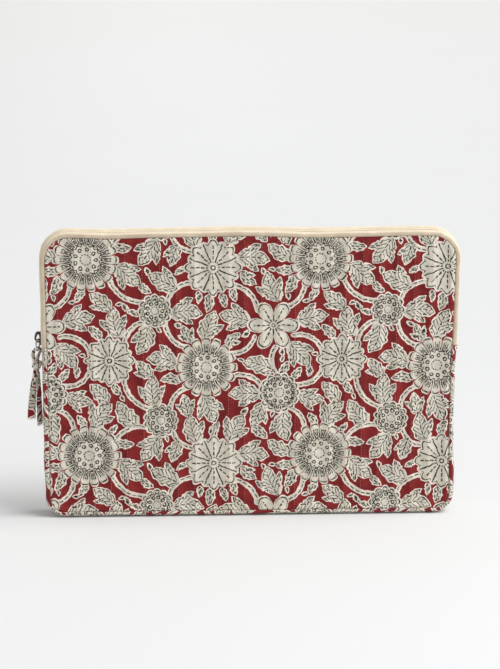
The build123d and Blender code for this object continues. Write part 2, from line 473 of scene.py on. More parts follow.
def mark_cloth(piece, cloth):
    """Stores each point's place on plain cloth, in millimetres, for its weave."""
    values = np.zeros((len(cloth), 3), np.float32)
    values[:, :2] = cloth
    attribute = piece.data.attributes.new("cloth", "FLOAT_VECTOR", "POINT")
    attribute.data.foreach_set("vector", values.ravel())


BLOOMS = place_blooms(np.random.default_rng(BLOOM_SEED))
STEMS = join_blooms(BLOOMS)
LEAVES = grow_leaves(np.random.default_rng(7))


# ---- Materials -------------------------------------------------------------------------
def srgb(red, green, blue):
    """A colour given in 0 to 255, as the shader wants it."""
    parts = [c / 255 for c in (red, green, blue)]
    return [c / 12.92 if c < 0.04045 else ((c + 0.055) / 1.055) ** 2.4 for c in parts] + [1]


class Finish:
    """A new material and short ways to add nodes to it."""

    def __init__(self, name, roughness, **sockets):
        self.material = bpy.data.materials.new(name)
        self.material.use_nodes = True
        self.tree = self.material.node_tree
        self.shader = self.tree.nodes["Principled BSDF"]
        self.shader.inputs["Roughness"].default_value = roughness
        for socket, value in sockets.items():
            self.shader.inputs[socket.replace("_", " ")].default_value = value

    def link(self, value, node, socket):
        self.tree.links.new(value.socket, node.inputs[socket])

    def out(self, node, socket=0):
        return Value(self.tree, node.outputs[socket])

    def attribute(self, name):
        """The stored vector, then its three parts."""
        node = self.tree.nodes.new("ShaderNodeAttribute")
        node.attribute_name = name
        parts = self.tree.nodes.new("ShaderNodeSeparateXYZ")
        vector = self.out(node, 1)
        self.link(vector, parts, 0)
        return vector, self.out(parts, 0), self.out(parts, 1), self.out(parts, 2)

    def object_place(self):
        node = self.tree.nodes.new("ShaderNodeTexCoord")
        return self.out(node, 3)

    def noise(self, place, scale, detail=2.0, output=0):
        node = self.tree.nodes.new("ShaderNodeTexNoise")
        node.inputs["Scale"].default_value = scale
        node.inputs["Detail"].default_value = detail
        self.link(place, node, "Vector")
        return self.out(node, output)

    def soft_step(self, value, low, high):
        node = self.tree.nodes.new("ShaderNodeMapRange")
        node.interpolation_type = "SMOOTHSTEP"
        node.inputs["From Min"].default_value = low
        node.inputs["From Max"].default_value = high
        self.link(value, node, "Value")
        return self.out(node)

    def mix(self, first, second, share):
        """Between two colours, each a list of numbers or a Value."""
        node = self.tree.nodes.new("ShaderNodeMix")
        node.data_type = "RGBA"
        for socket, term in ((0, share), (6, first), (7, second)):
            if isinstance(term, Value):
                self.tree.links.new(term.socket, node.inputs[socket])
            else:
                node.inputs[socket].default_value = term
        return self.out(node, 2)

    def colour(self, value):
        self.link(value, self.shader, "Base Color")

    def rough(self, value):
        self.link(value, self.shader, "Roughness")

    def bump(self, height, distance, strength=1.0):
        """Fine relief, up to distance in metres."""
        node = self.tree.nodes.new("ShaderNodeBump")
        node.inputs["Distance"].default_value = distance
        node.inputs["Strength"].default_value = strength
        self.link(height, node, "Height")
        self.tree.links.new(node.outputs[0], self.shader.inputs["Normal"])


def weave(u, v, pitch):
    """Height of a plain weave: threads that pass over and under each other."""
    turn = TAU / pitch
    return work("COSINE", u * turn) * work("COSINE", v * turn)


RED_DEEP = srgb(112, 29, 30)
RED_LIGHT = srgb(144, 42, 42)
CREAM_GREY = srgb(210, 204, 188)
CREAM = srgb(228, 222, 208)
CREAM_RIM = srgb(244, 233, 221)
INK = srgb(44, 42, 34)
RIM_W = 0.9  # the undrawn rim of a printed figure


def printed_cotton():
    """Red cotton printed with cream flowers, leaves and stems, and a dark drawing on them."""
    sockets = {"Sheen_Weight": 0.12, "Sheen_Roughness": 0.5, "Specular_IOR_Level": 0.2}
    finish = Finish("printed_cotton", 0.9, **sockets)
    place, u, v, _ = finish.attribute("cloth")
    coarse = finish.tree.nodes.new("ShaderNodeSeparateXYZ")
    finish.link(finish.noise(place, 0.22, 3.0, 1), coarse, 0)
    shift_x = (finish.out(coarse, 0) - 0.5) * 2.4
    shift_y = (finish.out(coarse, 1) - 0.5) * 2.4

    _, x, y, size = finish.attribute("bloom_place")
    _, petals, notch, point = finish.attribute("bloom_shape")
    _, second, ring, hatch = finish.attribute("bloom_style")
    x, y = x + shift_x, y + shift_y
    bloom, radius, across = bloom_form(x, y, size, petals, notch, point, second)
    turn = work("ARCTAN2", y, x)
    bloom_dark = bloom_lines(bloom, radius, across, turn, size, petals, ring, hatch)

    _, x, y, length = finish.attribute("leaf_place")
    _, width, bend, _ = finish.attribute("leaf_shape")
    leaf, along, off = leaf_form(x + shift_x, y + shift_y, length, width, bend)
    leaf_dark = leaf_lines(leaf, along, off, length)

    _, x, y, radius = finish.attribute("stem_place")
    _, half_angle, width, _ = finish.attribute("stem_shape")
    stem, along, across = stem_form(x + shift_x, y + shift_y, radius, half_angle, width)
    stem_dark = stem_lines(along, across)

    inside = work("MAXIMUM", work("MAXIMUM", bloom, leaf), stem)
    on_bloom = over(bloom, 0)
    on_leaf = over(leaf, 0)
    leaf_or_stem = on_leaf * leaf_dark + (1 - on_leaf) * stem_dark
    drawing = on_bloom * bloom_dark + (1 - on_bloom) * leaf_or_stem

    blotch = finish.noise(place, 0.055, 3.0)
    fleck = finish.noise(place, 1.1, 2.0)
    ink = finish.soft_step(finish.noise(place, 0.5, 2.0), 0.34, 0.50)
    ground = finish.mix(RED_DEEP, RED_LIGHT, finish.soft_step(blotch * 0.5 + fleck * 0.5, 0.35, 0.65))
    body = finish.mix(CREAM_GREY, CREAM, finish.soft_step(blotch * 0.6 + fleck * 0.4, 0.35, 0.65))
    inner = finish.soft_step(inside, RIM_W - 0.2, RIM_W + 0.2)
    figure = finish.mix(CREAM_RIM, body, inner)
    figure = finish.mix(figure, INK, inner * drawing * (ink * 0.4 + 0.6))
    finish.colour(finish.mix(ground, figure, finish.soft_step(inside, -0.12, 0.12)))
    finish.bump(weave(u, v, 0.62) * 0.5 + fleck * 1.4, 0.00012)
    return finish.material


def plain_cotton(name, light, dark, pitch, relief, face=None):
    """Undyed woven cotton: visible threads, slubs and slightly uneven colour.

    face is a light and a dark colour for the part beside the seam: painted shade, darker copies of
    the tape's colours that stand for the shade on its front face below the lit ridge.
    """
    finish = Finish(name, 0.88, Sheen_Weight=0.15, Sheen_Roughness=0.5, Specular_IOR_Level=0.2)
    place, u, v, _ = finish.attribute("cloth")
    threads = weave(u, v, pitch)
    blotch = finish.noise(place, 0.08, 3.0)
    slub = finish.noise(place, 0.9, 2.0)
    shade = finish.soft_step(blotch * 0.5 + slub * 0.4 + threads * 0.06, 0.30, 0.64)
    colour = finish.mix(dark, light, shade)
    # Painted shade: the tape's front face, beside the seam, gets darker copies of its colours.
    if face:
        beside = finish.mix(face[1], face[0], shade)
        colour = finish.mix(beside, colour, finish.soft_step(v, 4.4, 6.0))
    finish.colour(colour)
    finish.rough(finish.soft_step(slub, 0.2, 0.8) * 0.12 + 0.8)
    finish.bump(threads * 0.5 + slub, relief)
    return finish.material


def nylon_coil():
    """Cream nylon, a little shiny, with dust in its hollows."""
    sockets = {"Specular_IOR_Level": 0.5, "Subsurface_Weight": 0.08, "Subsurface_Scale": 0.002}
    finish = Finish("nylon_coil", 0.42, **sockets)
    place = finish.object_place()
    wear = finish.noise(place, 420.0, 2.0)
    worn = finish.soft_step(wear, 0.3, 0.65)
    finish.colour(finish.mix(srgb(196, 178, 142), srgb(232, 217, 186), worn))
    finish.rough(wear * 0.25 + 0.32)
    finish.bump(finish.noise(place, 2500.0, 1.0), 0.00003)
    return finish.material


def thread(name, light, dark):
    """Sewing thread, with its twist."""
    finish = Finish(name, 0.7, Sheen_Weight=0.2, Sheen_Roughness=0.4, Specular_IOR_Level=0.3)
    place = finish.object_place()
    twist = finish.noise(place, 3200.0, 1.0)
    finish.colour(finish.mix(dark, light, finish.soft_step(twist, 0.35, 0.6)))
    finish.bump(twist, 0.00005)
    return finish.material


def worn_metal(name, light, dark, roughness, scratches):
    """Plated metal: cloudy and scratched, darker where handling has worn it."""
    finish = Finish(name, roughness, Metallic=1.0, Coat_Weight=0.1, Coat_Roughness=0.2)
    place = finish.object_place()
    cloud = finish.noise(place, 260.0, 3.0)
    scratch = finish.noise(place, 1900.0, 4.0)
    finish.colour(finish.mix(dark, light, finish.soft_step(cloud * 0.6 + scratch * 0.4, 0.35, 0.62)))
    finish.rough(cloud * 0.22 + scratch * 0.12 + roughness - 0.14)
    finish.bump(scratch, scratches)
    return finish.material


# ---- Shapes ----------------------------------------------------------------------------
RIGHT_SIDE_Z = np.arange(0, 271, 10.0)
RIGHT_SIDE_OUT = 1.5 * np.sin((RIGHT_SIDE_Z - 175) / 58) * np.clip(RIGHT_SIDE_Z / 80, 0, 1) ** 2


def relaxed(points):
    """The sleeve's own unevenness: its top edge and right side wander a little."""
    x, y, z = points.T
    top = np.clip((z - 185) / 75, 0, 1) ** 2 * np.clip((x + 185) / 60, 0, 1)
    rise = 0.7 * ripples(x, y * 0, 60, 101)
    right = np.clip((x - 110) / 75, 0, 1) ** 1.5
    bulge = np.interp(z, RIGHT_SIDE_Z, RIGHT_SIDE_OUT)
    return np.column_stack([x + right * bulge, y, z + top * rise])


def solid(name, points, quads, material, caps=()):
    """A closed mesh from points in millimetres, with its faces turned outwards."""
    points = relaxed(np.asarray(points, float).reshape(-1, 3))
    fans = [quads[:, [0, 1, 2]], quads[:, [0, 2, 3]]]
    for cap in caps:
        fans.append(np.array([[cap[0], cap[k], cap[k + 1]] for k in range(1, len(cap) - 1)]))
    corners = (points - points.mean(axis=0))[np.vstack(fans)]
    volume = np.einsum("ij,ij->", corners[:, 0], np.cross(corners[:, 1], corners[:, 2]))
    turn = -1 if volume < 0 else 1
    faces = quads[:, ::turn].tolist() + [list(cap)[::turn] for cap in caps]
    mesh = bpy.data.meshes.new(name)
    mesh.from_pydata((points * MM).tolist(), [], faces)
    mesh.polygons.foreach_set("use_smooth", [True] * len(mesh.polygons))
    mesh.materials.append(material)
    mesh.update()
    return add_object(name, mesh)


def add_object(name, data):
    thing = bpy.data.objects.new(name, data)
    bpy.context.collection.objects.link(thing)
    return thing


def grid_quads(index):
    """Faces between the neighbours in a table of point numbers."""
    corners = [index[:-1, :-1], index[:-1, 1:], index[1:, 1:], index[1:, :-1]]
    return np.stack(corners, axis=-1).reshape(-1, 4)


def shell(name, outer, inner, material):
    """A closed shell between two grids of points of the same shape."""
    index = np.arange(outer.shape[0] * outer.shape[1]).reshape(outer.shape[:2])
    edge = np.concatenate([index[0, :-1], index[:-1, -1], index[-1, :0:-1], index[:0:-1, 0]])
    after = np.roll(edge, -1)
    total = index.size
    rim = np.stack([after, edge, edge + total, after + total], axis=-1)
    quads = np.vstack([grid_quads(index), grid_quads(index)[:, ::-1] + total, rim])
    return solid(name, np.concatenate([outer.reshape(-1, 3), inner.reshape(-1, 3)]), quads, material)


def tube(name, rings, material, closed=False):
    """A tube through rings of points, capped unless it is closed into a loop."""
    index = np.arange(rings.shape[0] * rings.shape[1]).reshape(rings.shape[:2])
    index = np.hstack([index, index[:, :1]])
    if closed:
        index = np.vstack([index, index[:1]])
    caps = [] if closed else [index[0, -1:0:-1].tolist(), index[-1, :-1].tolist()]
    return solid(name, rings, grid_quads(index), material, caps)


def many_tubes(name, tubes, material):
    """One piece of many short capped tubes that are all alike. tubes is tube, ring, point, XYZ."""
    count, rings, around, _ = tubes.shape
    index = np.arange(rings * around).reshape(rings, around)
    index = np.hstack([index, index[:, :1]])
    starts = np.arange(count)[:, None, None] * rings * around
    quads = (grid_quads(index)[None] + starts).reshape(-1, 4)
    caps = []
    for start in starts.ravel().tolist():
        caps.append((index[0, -1:0:-1] + start).tolist())
        caps.append((index[-1, :-1] + start).tolist())
    return solid(name, tubes, quads, material, caps)


def unit(vectors):
    return vectors / np.linalg.norm(vectors, axis=-1, keepdims=True)


def boxy(angles, square):
    """Cosine and sine for a section that a square under 1 makes boxier."""
    c, s = np.cos(angles), np.sin(angles)
    return np.sign(c) * np.abs(c) ** square, np.sign(s) * np.abs(s) ** square


def loop_tangent(points):
    return unit(np.roll(points, -1, axis=0) - np.roll(points, 1, axis=0))


def pairs(first, second):
    """Every point's two cloth coordinates, one below the other."""
    return np.stack(np.broadcast_arrays(first, second), axis=-1).reshape(-1, 2)


def swept(points, across, up, half_width, half_thickness, sides, square=1.0):
    """Rings round a line of points. A square under 1 makes the section boxier."""
    angles = TAU * (np.arange(sides) + 0.5) / sides
    c, s = boxy(angles, square)
    half_width = np.broadcast_to(half_width, len(points))[:, None, None]
    half_thickness = np.broadcast_to(half_thickness, len(points))[:, None, None]
    wide = across[:, None] * c[None, :, None] * half_width
    thick = up[:, None] * s[None, :, None] * half_thickness
    return points[:, None] + wide + thick


def smooth_curve(points, per_span):
    """More points on a smooth line through the given ones."""
    points = np.asarray(points, float)
    first = 2 * points[:1] - points[1:2]
    last = 2 * points[-1:] - points[-2:-1]
    padded = np.vstack([first, points, last])
    curve = []
    for k in range(len(points) - 1):
        a, b, c, d = padded[k : k + 4]
        for t in np.arange(per_span) / per_span:
            curve.append(
                b
                + 0.5 * t * (c - a)
                + t * t * (a - 2.5 * b + 2 * c - 0.5 * d)
                + t * t * t * (1.5 * b - 0.5 * a - 1.5 * c + 0.5 * d)
            )
    curve.append(points[-1])
    return np.array(curve)


def ripples(x, y, size, seed):
    """Soft random unevenness, mostly between -1 and 1, with bumps about size across."""
    rng = np.random.default_rng(seed)
    total = 0
    for _ in range(16):
        angle, phase = rng.uniform(0, TAU, 2)
        turn = TAU / (size * rng.uniform(1.3, 3.2))
        total = total + np.sin((x * math.cos(angle) + y * math.sin(angle)) * turn + phase)
    return total / 4


# ---- The sleeve's outline --------------------------------------------------------------
def straight(x0, z0, x1, z1, out, step):
    count = max(1, round(math.hypot(x1 - x0, z1 - z0) / step))
    t = np.arange(count) / count
    rows = np.column_stack([x0 + (x1 - x0) * t, z0 + (z1 - z0) * t])
    return np.hstack([rows, np.tile(out, (count, 1))])


def corner(cx, cz, radius, start, end, step):
    """A quarter turn; start and end in quarter turns from +X."""
    count = round(radius * TAU / 4 / step)
    angles = (start + (end - start) * np.arange(count) / count) * TAU / 4
    out = np.column_stack([np.cos(angles), np.sin(angles)])
    return np.hstack([[cx, cz] + radius * out, out])


def with_length(rows):
    """Adds the distance along the line to rows of x, z and the outward direction."""
    steps = np.hypot(*np.diff(rows[:, :2], axis=0).T)
    return np.column_stack([rows, np.concatenate([[0], np.cumsum(steps)])])


def upper_line(low_z, step):
    """Up the left side, over the top and down the right side, from low_z to low_z."""
    x, z = SIDE_X - TOP_CORNER, TOP_Z - TOP_CORNER
    return with_length(np.vstack([
        straight(-SIDE_X, low_z, -SIDE_X, z, (-1, 0), step),
        corner(-x, z, TOP_CORNER, 2, 1, step),
        straight(-x, TOP_Z, x, TOP_Z, (0, 1), step),
        corner(x, z, TOP_CORNER, 1, 0, step),
        straight(SIDE_X, z, SIDE_X, low_z, (1, 0), step),
        [[SIDE_X, low_z, 1, 0]],
    ]))


def lower_line(high_z, step):
    """Down the left side, along the bottom and up the right side."""
    x, z = SIDE_X - BOTTOM_CORNER, BOTTOM_CORNER
    return with_length(np.vstack([
        straight(-SIDE_X, high_z, -SIDE_X, z, (-1, 0), step),
        corner(-x, z, BOTTOM_CORNER, 2, 3, step),
        straight(-x, 0, x, 0, (0, -1), step),
        corner(x, z, BOTTOM_CORNER, 3, 4, step),
        straight(SIDE_X, z, SIDE_X, high_z, (1, 0), step),
        [[SIDE_X, high_z, 1, 0]],
    ]))


def whole_line(step):
    """All the way round."""
    upper = upper_line(ZIP_END_Z, step)[:-1, :4]
    lower = lower_line(ZIP_END_Z, step)[::-1, :4]
    return with_length(np.vstack([upper, lower[:-1]]))


def on_line(line, section):
    """Points of a section, given as distances out and Y, at every point of a line.

    section is one section for all points or one for each of them.
    """
    section = np.asarray(section, float)
    if section.ndim == 2:
        section = np.broadcast_to(section, (len(line),) + section.shape)
    out, y = section[..., 0], section[..., 1]
    x = line[:, 0, None] + line[:, 2, None] * out
    z = line[:, 1, None] + line[:, 3, None] * out
    return np.stack([x, y, z], axis=-1)


# ---- Front and back panels -------------------------------------------------------------
PANEL_HALF_W = SIDE_X - SEAM_INSET
PANEL_BOTTOM = SEAM_INSET
PANEL_TOP = TOP_Z - SEAM_INSET
PANEL_TOP_R = TOP_CORNER - SEAM_INSET
PANEL_BOTTOM_R = BOTTOM_CORNER - SEAM_INSET
EDGE_ROWS = np.array([0, 0.2, 0.6, 1.2, 2.0, 3.0, 4.2, 5.6])
EDGE_W = 4.5  # the panel rounds over this far from its seam

# Cloth simulation of a cover
SIM_SCALE = 0.02  # metres for each millimetre: the solver is steady at this size
SIM_PER_CHANNEL = 7
SIM_ROWS = 86
SIM_FRAMES = 22
SIM_PRESSURE = -11.0
COVER_EASE = 0.045  # the share by which the cover is cut too large


def corner_rise(x, radius):
    """How far the edge has turned back at x, in a corner of that radius."""
    past = np.clip(np.abs(x) - (PANEL_HALF_W - radius), 0, radius)
    return radius - np.sqrt(radius**2 - past**2)


def panel_columns(per_channel):
    """Columns of points, closer together at the quilting and round the corners."""
    shares = np.arange(per_channel) / per_channel
    shares = shares - 0.09 * np.sin(TAU * shares)
    inner = PANEL_HALF_W - PANEL_TOP_R
    middle = (QUILT_X[:, None] + QUILT_PITCH * shares).ravel()
    middle = middle[np.abs(middle) < inner - 1]
    arc = inner + PANEL_TOP_R * np.sin(np.linspace(0, TAU / 4, 20))
    arcs = np.concatenate([-arc, arc])
    for x in QUILT_X[np.abs(QUILT_X) > inner - 1]:
        arcs[np.argmin(np.abs(arcs - x))] = x
    return np.sort(np.concatenate([middle, arcs]))


def panel_grid(per_channel, row_step):
    """X and Z of the panel's points, in rows from the bottom edge to the top edge."""
    x = panel_columns(per_channel)
    low = PANEL_BOTTOM + corner_rise(x, PANEL_BOTTOM_R)
    high = PANEL_TOP - corner_rise(x, PANEL_TOP_R)
    margin = EDGE_ROWS[-1]
    count = round((PANEL_TOP - PANEL_BOTTOM - 2 * margin) / row_step)
    shares = np.linspace(0, 1, count + 1)[1:-1, None]
    rows = [
        low + EDGE_ROWS[:, None],
        low + margin + (high - low - 2 * margin) * shares,
        high - EDGE_ROWS[::-1, None],
    ]
    z = np.vstack(rows)
    return np.broadcast_to(x, z.shape), z


def edge_distance(x, z):
    """How far inside the panel's seam a point is."""
    middle = (PANEL_TOP + PANEL_BOTTOM) / 2
    radius = np.where(z > middle, PANEL_TOP_R, PANEL_BOTTOM_R)
    past_x = np.abs(x) - (PANEL_HALF_W - radius)
    past_z = np.abs(z - middle) - ((PANEL_TOP - PANEL_BOTTOM) / 2 - radius)
    outside = np.hypot(np.maximum(past_x, 0), np.maximum(past_z, 0))
    return np.maximum(radius - outside - np.minimum(np.maximum(past_x, past_z), 0), 0)


def simulate_cover(seed):
    """A cover cut a little too large, puffed up between its stitched lines by cloth simulation.

    Returns how far it stands out, by row and column, and the X of the first column.
    """
    step = QUILT_PITCH / SIM_PER_CHANNEL
    left = round((PANEL_HALF_W + QUILT_START) / step - 0.5)
    right = round((PANEL_HALF_W - QUILT_START) / step - 0.5)
    columns = np.arange(-left, right + 1)
    heights = np.linspace(PANEL_BOTTOM, PANEL_TOP, SIM_ROWS)
    x, z = np.meshgrid(QUILT_START + step * columns, heights)
    pinned = np.broadcast_to(columns % SIM_PER_CHANNEL == 0, x.shape).copy()
    pinned[[0, -1]] = True
    pinned[:, [0, -1]] = True
    y = np.where(pinned, 0, 0.4 + 0.25 * ripples(x, z, 9, seed))
    index = np.arange(x.size).reshape(x.shape)
    mesh = bpy.data.meshes.new("cover_simulation")
    points = np.stack([x, -y, z], axis=-1).reshape(-1, 3) * SIM_SCALE
    mesh.from_pydata(points.tolist(), [], grid_quads(index).tolist())
    cover = add_object("cover_simulation", mesh)
    cover.vertex_groups.new(name="pins").add(np.flatnonzero(pinned.ravel()).tolist(), 1.0, "REPLACE")
    cloth = cover.modifiers.new("cloth", "CLOTH")
    cloth.collision_settings.use_collision = False
    cloth.point_cache.frame_end = SIM_FRAMES
    settings = cloth.settings
    settings.vertex_group_mass = "pins"
    settings.shrink_min = settings.shrink_max = -COVER_EASE
    settings.use_pressure = True
    settings.uniform_pressure_force = SIM_PRESSURE
    settings.bending_stiffness = 0.2
    settings.effector_weights.gravity = 0
    for number in range(1, SIM_FRAMES + 1):
        bpy.context.scene.frame_set(number)
    result = cover.evaluated_get(bpy.context.evaluated_depsgraph_get()).data
    points = np.empty(len(result.vertices) * 3)
    result.vertices.foreach_get("co", points)
    bpy.context.scene.frame_set(1)
    bpy.data.objects.remove(cover)
    return -points.reshape(x.shape + (3,))[..., 1] / SIM_SCALE, x[0, 0]


def cubic_weights(t):
    return [
        t * (t * (1 - t / 2) - 0.5),
        1 + t * t * (1.5 * t - 2.5),
        t * (0.5 + t * (2 - 1.5 * t)),
        t * t * (t - 1) / 2,
    ]


def sample(grid, row, column):
    """Values at places between a grid's points, on a smooth surface through them."""
    row = np.clip(row, 0, grid.shape[0] - 1)
    column = np.clip(column, 0, grid.shape[1] - 1)
    i, j = np.floor(row).astype(int), np.floor(column).astype(int)
    padded = np.pad(grid, ((1, 3), (1, 3)), mode="edge")
    total = 0
    for m, down in enumerate(cubic_weights(row - i)):
        for n, over_by in enumerate(cubic_weights(column - j)):
            total = total + down * over_by * padded[i + m, j + n]
    return total


def line_distance(x):
    """How far, across, the nearest line of quilting is."""
    turns = (x - QUILT_START) / QUILT_PITCH
    return np.abs(turns - np.round(turns)) * QUILT_PITCH


def crown(x):
    """0 on a line of quilting and 1 midway between two."""
    return 1 - (1 - line_distance(x) * 2 / QUILT_PITCH) ** 2.4


def panel_surface(x, z, seed):
    """How far out, from the middle of the sleeve, the quilted cover lies."""
    heights, first_x = simulate_cover(seed)
    row = (z - PANEL_BOTTOM) / (PANEL_TOP - PANEL_BOTTOM) * (SIM_ROWS - 1)
    puff = sample(heights, row, (x - first_x) / QUILT_PITCH * SIM_PER_CHANNEL)
    tucks = 0.06 * ripples(x * 0.6, z, 4, seed + 1)
    slack = 0.3 * ripples(x, z, 75, seed + 2)
    crease = 0.7 * np.exp(-((line_distance(x) / 0.7) ** 2))
    surface = FRONT_Y - 1.0 + puff + tucks + slack - crease
    share = np.clip(edge_distance(x, z) / EDGE_W, 0, 1)
    return SEAM_Y + (surface - SEAM_Y) * np.sqrt(1 - (1 - share) ** 2)


def make_panel(name, side, seed, material):
    """One quilted panel. side is -1 for the front and 1 for the back."""
    x, z = panel_grid(12, 2.1)
    y = panel_surface(x, z, seed)
    outer = np.stack([x, side * y, z], axis=-1)
    inner = np.stack([x, np.full_like(x, side * PANEL_INNER_Y), z], axis=-1)
    piece = shell(name, outer, inner, material)
    cloth = np.column_stack([-side * x.ravel() - 18, z.ravel() - 237])
    if side > 0:
        cloth = cloth + [77, 41]
    print_cloth(piece, np.vstack([cloth, cloth]))
    return piece, x, y, z


STITCH_PITCH = 2.7


def make_quilting(name, side, x, y, z, seed, material):
    """Running stitches down the quilting lines, each dipping into the cloth at its ends."""
    rng = np.random.default_rng(seed)
    centres = []
    for line_x in QUILT_X:
        column = np.argmin(np.abs(x[0] - line_x))
        places = np.arange(z[0, column] + 2.5, z[-1, column] - 2.5, STITCH_PITCH)
        places = places + rng.uniform(-0.3, 0.3, len(places))
        depth = np.interp(places, z[:, column], y[:, column])
        drift = 0.25 * ripples(places, places * 0, 60, round(line_x * 10) + 4000)
        centres.append(np.column_stack([line_x + drift, side * depth, places]))
    centres = np.vstack(centres)
    along = np.array([-1.0, -0.78, 0, 0.78, 1.0]) * STITCH_PITCH * 0.36
    lift = np.array([-0.22, 0.06, 0.14, 0.06, -0.22])
    girth = np.array([0.08, 0.14, 0.17, 0.14, 0.08])
    around = TAU * np.arange(5) / 5
    tubes = np.zeros((len(centres), 5, 5, 3))
    tubes[..., 0] = girth[:, None] * np.cos(around)
    tubes[..., 1] = side * (lift[:, None] + girth[:, None] * np.sin(around))
    tubes[..., 2] = along[:, None]
    return many_tubes(name, tubes + centres[:, None, None], material)


# ---- Band, tapes, lining and binding ---------------------------------------------------
BAND_OUTER = [
    (-5.0, -12.5), (-4.9, -13.7), (-4.4, -14.5), (-3.5, -14.6), (-2.4, -13.9), (-1.3, -12.3),
    (-0.5, -9.8), (-0.1, -6.8), (0, 0), (-0.1, 6.8), (-0.5, 9.8), (-1.3, 12.3), (-2.4, 13.9),
    (-3.5, 14.6), (-4.4, 14.5), (-4.9, 13.7), (-5.0, 12.5),
]
BAND_INNER = [
    (-5.0, 11.6), (-4.0, 11.0), (-3.4, 9.0), (-3.4, 0), (-3.4, -9.0), (-4.0, -11.0),
    (-5.0, -11.6),
]
TAPE_OUTER = [
    (-5.0, -11.8), (-4.5, -12.7), (-3.8, -13.4), (-2.8, -13.6), (-1.8, -13.5), (-0.8, -13.0),
    (-0.1, -11.9), (0.15, -10.4), (0.25, -8.6), (0.1, -6.8), (-0.4, -5.0), (-1.2, -3.6),
    (-2.0, -3.15),
]
BACK_RIDGE = 1.2  # how far the back tape rises over the front one, along the top
TAPE_INNER = [(-2.0, -3.5), (-1.7, -5.0), (-1.4, -8.0), (-2.2, -10.6), (-3.3, -11.5), (-4.4, -11.5)]
BAND_LAP = 1.6  # the band's end laps over the zip tape


def section_length(section):
    steps = np.linalg.norm(np.diff(section, axis=0), axis=1)
    return np.concatenate([[0], np.cumsum(steps)])


def rounded(section, outer):
    """How much each point of a section moves with its outer side, 0 at that side's ends."""
    bulge = np.zeros(len(section))
    bulge[: len(outer)] = np.sin(np.linspace(0, TAU / 2, len(outer))) ** 0.5
    return bulge


def along_line(line, places):
    """Rows of a line at places along it, with the outward way and the way along, in XYZ."""
    rows = np.column_stack([np.interp(places, line[:, 4], line[:, k]) for k in range(4)])
    level = np.zeros(len(rows))
    out = np.column_stack([rows[:, 2], level, rows[:, 3]])
    return rows, out, np.column_stack([rows[:, 3], level, -rows[:, 2]])


def make_band(material):
    """The printed band between the covers, round the sides and the bottom."""
    line = lower_line(ZIP_END_Z + BAND_LAP, 1.6)
    outer = smooth_curve(BAND_OUTER, 4)
    inner = smooth_curve(BAND_INNER, 2)
    section = np.vstack([outer, inner])
    sections = np.broadcast_to(section, (len(line),) + section.shape).copy()
    along = line[:, 4, None]
    girth = section_length(section)[None]
    free = np.clip((line[:, 1, None] - 4) / 12, 0, 1)
    lumps = 0.30 * ripples(along, girth, 16, 31) + 0.12 * ripples(along, girth, 4, 32)
    from_end = np.minimum(along, along[-1] - along)
    lap = 0.7 * np.exp(-((from_end / 3.6) ** 2)) - 0.5 * np.exp(-((from_end / 0.5) ** 2))
    bulge = rounded(section, outer)
    sections[..., 0] += (lumps * free + lap + 0.2 * free) * bulge
    rings = on_line(line, sections)
    rings[..., 2] = np.maximum(rings[..., 2], 0.05)
    piece = tube("side_band", rings, material)
    print_cloth(piece, pairs(along + 33, girth + 51))
    settle(piece, "printed_cotton", "sleeve", "gusset_cover", "gusset_padding")


def make_tape(name, side, lift, seed, material):
    """One half of the zip tape, rolled over from its seam to the coil. lift raises its ridge."""
    line = upper_line(ZIP_END_Z - 0.6, 1.8)
    outer = smooth_curve(TAPE_OUTER, 4)
    inner = smooth_curve(TAPE_INNER, 2)
    section = np.vstack([outer, inner]) * [1, -side]
    sections = np.broadcast_to(section, (len(line),) + section.shape).copy()
    along = line[:, 4, None]
    girth = section_length(section)[None]
    bulge = rounded(section, outer)
    lumps = 0.16 * ripples(along, girth, 30, seed) + 0.05 * ripples(along, girth * 0.4, 5, seed + 1)
    round_corner = np.abs(2 * line[:, 2, None] * line[:, 3, None])
    lumps = lumps + 0.22 * round_corner * ripples(along, girth * 0.3, 3.2, seed + 2)
    from_end = np.minimum(along, along[-1] - along)
    free = np.clip((from_end - 10) / 30, 0, 1)
    ridge = np.exp(-(((np.abs(section[:, 1]) - 9.2) / 2.6) ** 2)) * (bulge > 0)
    under_band = 0.5 * (from_end < 3)
    sections[..., 0] += (lumps + lift * free - under_band) * bulge
    sections[..., 0] += (BACK_RIDGE if side > 0 else 0) * free * ridge
    piece = tube(name, on_line(line, sections), material)
    mark_cloth(piece, pairs(along, girth))
    return piece


def make_tape_stitches(name, side, material):
    """The line of machine stitches that holds the tape's fold down beside the coil."""
    line = upper_line(ZIP_END_Z + 4, 0.4)
    places = np.arange(1, line[-1, 4] - 1, 2.6)
    rows, out, way = along_line(line, places)
    across = np.array([0, 1.0, 0])
    centres = np.column_stack([rows[:, 0], np.full(len(rows), side * 5.4), rows[:, 1]]) + 0.16 * out
    along = np.array([-1.0, -0.75, 0, 0.75, 1.0]) * 0.95
    lift = np.array([-0.2, 0.05, 0.12, 0.05, -0.2])
    girth = np.array([0.08, 0.15, 0.18, 0.15, 0.08])
    around = TAU * np.arange(5) / 5
    tubes = (
        centres[:, None, None]
        + way[:, None, None] * along[:, None, None]
        + out[:, None, None]
        * (lift[:, None, None] + girth[:, None, None] * np.sin(around)[None, :, None])
        + across * girth[:, None, None] * np.cos(around)[None, :, None]
    )
    return many_tubes(name, tubes, material)


COIL_PITCH = 1.4
COIL_OUT = -1.9
COIL_Y = 1.43
COIL_HALF_H = 0.95
COIL_HALF_W = 1.62
WIRE_R = 0.31


